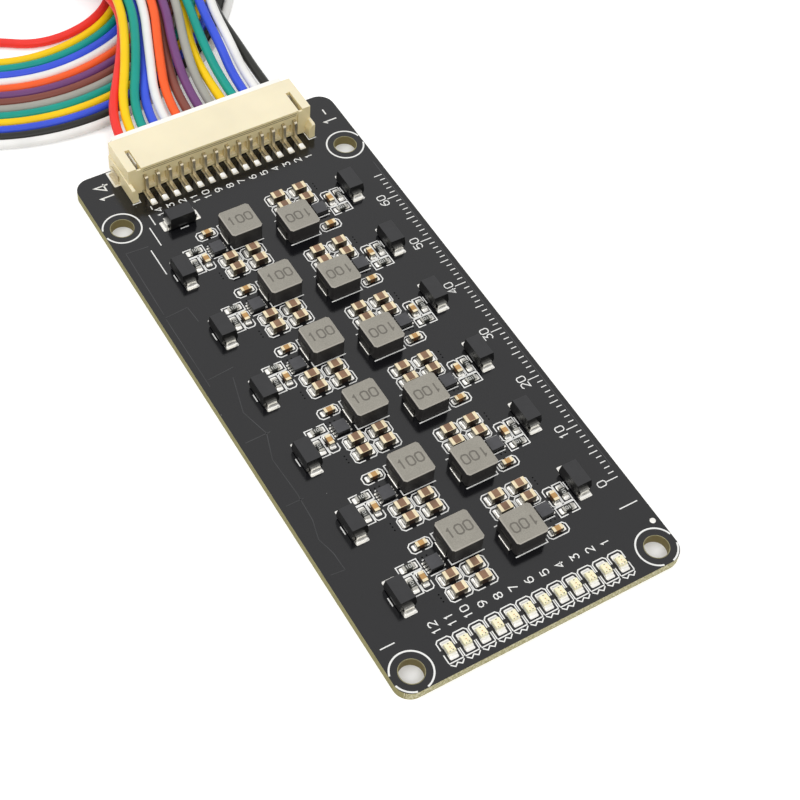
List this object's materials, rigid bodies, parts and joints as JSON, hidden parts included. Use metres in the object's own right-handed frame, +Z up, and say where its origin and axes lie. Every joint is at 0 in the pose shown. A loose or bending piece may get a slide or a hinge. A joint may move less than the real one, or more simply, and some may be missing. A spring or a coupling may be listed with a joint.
{
  "type": "active balancer board",
  "caption": "Battery cell balancing circuit board with rows of inductors and chips, a row of indicator lights and a side-entry header holding a plugged-in harness of coloured wires.",
  "frame": {"origin": "centre of the board's underside, the face that rests on or faces its carrier", "axes": "+Z up out of the board's component side, +Y along the board towards the header, +X to the right seen from above"},
  "size_m": [0.0815, 0.1799, 0.0077],
  "materials": {
    "solder_mask": "satin black solder mask on glass-epoxy board",
    "header_nylon": "natural cream nylon",
    "plug_nylon": "natural white nylon",
    "tinned_metal": "tin plated",
    "solder_tab_metal": "tin plated",
    "moulded_iron_powder": "moulded iron powder, matt grey",
    "inductor_strip_metal": "tinned copper strip",
    "chip_epoxy": "black epoxy moulding",
    "lead_metal": "tin plated",
    "diode_epoxy": "black epoxy moulding",
    "capacitor_ceramic": "bare brown ceramic",
    "small_capacitor_ceramic": "bare golden brown ceramic",
    "resistor_body": "black coated ceramic",
    "chip_end_metal": "tin plated",
    "led_base_plastic": "white base",
    "led_resin": "cloudy cream yellow resin",
    "wire_red": "soft cable jacket",
    "wire_yellow": "soft cable jacket",
    "wire_green": "soft cable jacket",
    "wire_blue": "soft cable jacket",
    "wire_white": "soft cable jacket",
    "wire_orange": "soft cable jacket",
    "wire_brown": "soft cable jacket",
    "wire_purple": "soft cable jacket",
    "wire_grey": "soft cable jacket",
    "wire_black": "soft cable jacket"
  },
  "bodies": {
    "root": {"circuit_board": "solder_mask", "header_housing": "header_nylon", "header_pins": "tinned_metal", "header_solder_tabs": "solder_tab_metal", "plug_housing": "plug_nylon", "plug_terminals": "tinned_metal", "inductor_01": "moulded_iron_powder", "inductor_02": "moulded_iron_powder", "inductor_03": "moulded_iron_powder", "inductor_04": "moulded_iron_powder", "inductor_05": "moulded_iron_powder", "inductor_06": "moulded_iron_powder", "inductor_07": "moulded_iron_powder", "inductor_08": "moulded_iron_powder", "inductor_09": "moulded_iron_powder", "inductor_10": "moulded_iron_powder", "inductor_11": "moulded_iron_powder", "inductor_12": "moulded_iron_powder", "inductor_terminals": "inductor_strip_metal", "controller_01": "chip_epoxy", "controller_02": "chip_epoxy", "controller_03": "chip_epoxy", "controller_04": "chip_epoxy", "controller_05": "chip_epoxy", "controller_06": "chip_epoxy", "controller_07": "chip_epoxy", "controller_08": "chip_epoxy", "controller_09": "chip_epoxy", "controller_10": "chip_epoxy", "controller_11": "chip_epoxy", "controller_12": "chip_epoxy", "controller_leads": "lead_metal", "diode_bodies": "diode_epoxy", "diode_leads": "lead_metal", "large_capacitor_bodies": "capacitor_ceramic", "large_capacitor_ends": "chip_end_metal", "small_capacitor_bodies": "small_capacitor_ceramic", "small_capacitor_ends": "chip_end_metal", "resistor_bodies": "resistor_body", "resistor_ends": "chip_end_metal", "led_bases": "led_base_plastic", "led_ends": "chip_end_metal", "led_lenses": "led_resin", "wire_01_red": "wire_red", "wire_02_yellow": "wire_yellow", "wire_03_green": "wire_green", "wire_04_blue": "wire_blue", "wire_05_white": "wire_white", "wire_06_orange": "wire_orange", "wire_07_brown": "wire_brown", "wire_08_purple": "wire_purple", "wire_09_grey": "wire_grey", "wire_10_yellow": "wire_yellow", "wire_11_green": "wire_green", "wire_12_blue": "wire_blue", "wire_13_white": "wire_white", "wire_14_black": "wire_black"}
  },
  "joints": []
}
